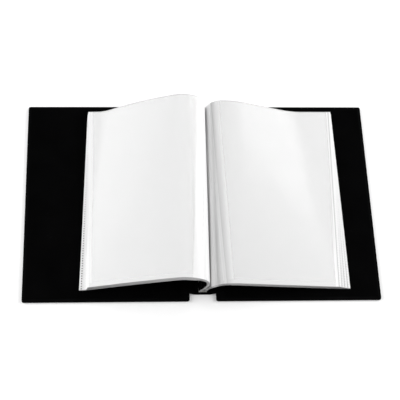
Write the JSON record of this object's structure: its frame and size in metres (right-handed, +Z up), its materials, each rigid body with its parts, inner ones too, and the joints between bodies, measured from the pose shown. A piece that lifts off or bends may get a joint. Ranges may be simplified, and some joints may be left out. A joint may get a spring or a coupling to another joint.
{
  "type": "photo album",
  "caption": "Open pocket photo album: wrapped covers on a flexible spine strip, clear pocket leaves with white inserts arching to each side; covers close, top leaf turns, inserts slide.",
  "frame": {"origin": "under the middle of the spine, on the plane that the covers lie on", "axes": "+X across the open spread towards the back cover, +Y from tail to head, +Z up"},
  "size_m": [0.5116, 0.33, 0.0527],
  "materials": {
    "greyboard": "matte",
    "cover_leatherette": "matte",
    "lining_paper": "matte",
    "spine_leatherette": "matte",
    "liner_cloth": "matte",
    "binding_glue": "satin",
    "guard_film": "gloss",
    "pocket_film": "gloss",
    "insert_paper": "matte"
  },
  "bodies": {
    "spine": {"spine_strip": "spine_leatherette", "spine_liner": "liner_cloth", "glue_bed": "binding_glue", "left_guards": "guard_film", "right_guards": "guard_film"},
    "front_cover": {"front_board": "greyboard", "front_wrap": "cover_leatherette", "front_lining": "lining_paper", "front_flap": "spine_leatherette"},
    "back_cover": {"back_board": "greyboard", "back_wrap": "cover_leatherette", "back_lining": "lining_paper", "back_flap": "spine_leatherette"},
    "left_leaves": {"left_leaf_01": "pocket_film", "left_leaf_02": "pocket_film", "left_leaf_03": "pocket_film", "left_leaf_04": "pocket_film", "left_leaf_05": "pocket_film", "left_leaf_06": "pocket_film", "left_leaf_07": "pocket_film", "left_leaf_08": "pocket_film", "left_leaf_09": "pocket_film", "left_leaf_10": "pocket_film", "left_leaf_11": "pocket_film", "left_insert_01": "insert_paper", "left_insert_02": "insert_paper", "left_insert_03": "insert_paper", "left_insert_04": "insert_paper", "left_insert_05": "insert_paper", "left_insert_06": "insert_paper", "left_insert_07": "insert_paper", "left_insert_08": "insert_paper", "left_insert_09": "insert_paper", "left_insert_10": "insert_paper", "left_insert_11": "insert_paper"},
    "turning_leaf": {"left_leaf_12": "pocket_film"},
    "turning_insert": {"left_insert_12": "insert_paper"},
    "right_leaves": {"right_leaf_01": "pocket_film", "right_leaf_02": "pocket_film", "right_leaf_03": "pocket_film", "right_leaf_04": "pocket_film", "right_leaf_05": "pocket_film", "right_leaf_06": "pocket_film", "right_leaf_07": "pocket_film", "right_leaf_08": "pocket_film", "right_insert_01": "insert_paper", "right_insert_02": "insert_paper", "right_insert_03": "insert_paper", "right_insert_04": "insert_paper", "right_insert_05": "insert_paper", "right_insert_06": "insert_paper", "right_insert_07": "insert_paper"},
    "loose_insert": {"right_insert_08": "insert_paper"}
  },
  "joints": [
    {"name": "front_cover_hinge", "type": "hinge", "parent": "spine", "child": "front_cover", "pos_m": [-0.0123, 0, 0.0006], "axis": [0, 1, 0], "range_deg": [0, 90]},
    {"name": "back_cover_hinge", "type": "hinge", "parent": "spine", "child": "back_cover", "pos_m": [0.0123, 0, 0.0006], "axis": [0, -1, 0], "range_deg": [0, 90]},
    {"name": "left_leaves_hinge", "type": "hinge", "parent": "spine", "child": "left_leaves", "pos_m": [-0.004, 0, 0.04], "axis": [0, 1, 0], "range_deg": [0, 101], "deforming": ["left_guards", "left_leaf_01", "left_leaf_02", "left_leaf_03", "left_leaf_04", "left_leaf_05", "left_leaf_06", "left_leaf_07", "left_leaf_08", "left_leaf_09", "left_leaf_10", "left_leaf_11", "left_insert_01", "left_insert_02", "left_insert_03", "left_insert_04", "left_insert_05", "left_insert_06", "left_insert_07", "left_insert_08", "left_insert_09", "left_insert_10", "left_insert_11"]},
    {"name": "right_leaves_hinge", "type": "hinge", "parent": "spine", "child": "right_leaves", "pos_m": [0.0145, 0, 0.0236], "axis": [0, -1, 0], "range_deg": [0, 98], "deforming": ["right_guards", "right_leaf_01", "right_leaf_02", "right_leaf_03", "right_leaf_04", "right_leaf_05", "right_leaf_06", "right_leaf_07", "right_leaf_08", "right_insert_01", "right_insert_02", "right_insert_03", "right_insert_04", "right_insert_05", "right_insert_06", "right_insert_07", "right_insert_08"]},
    {"name": "page_turn", "type": "hinge", "parent": "left_leaves", "child": "turning_leaf", "pos_m": [0.0055, 0, 0.0414], "axis": [0, -1, 0], "range_deg": [-160, 0], "deforming": ["left_leaf_12", "left_insert_12"]},
    {"name": "left_insert_slide", "type": "slide", "parent": "turning_leaf", "child": "turning_insert", "axis": [0, 1, 0], "range_m": [0, 0.25]},
    {"name": "right_insert_slide", "type": "slide", "parent": "right_leaves", "child": "loose_insert", "axis": [0, 1, 0], "range_m": [0, 0.25]}
  ],
  "couplings": [
    {"joint": "left_leaves_hinge", "follows": "front_cover_hinge", "ratio": 1.119},
    {"joint": "right_leaves_hinge", "follows": "back_cover_hinge", "ratio": 1.085}
  ]
}
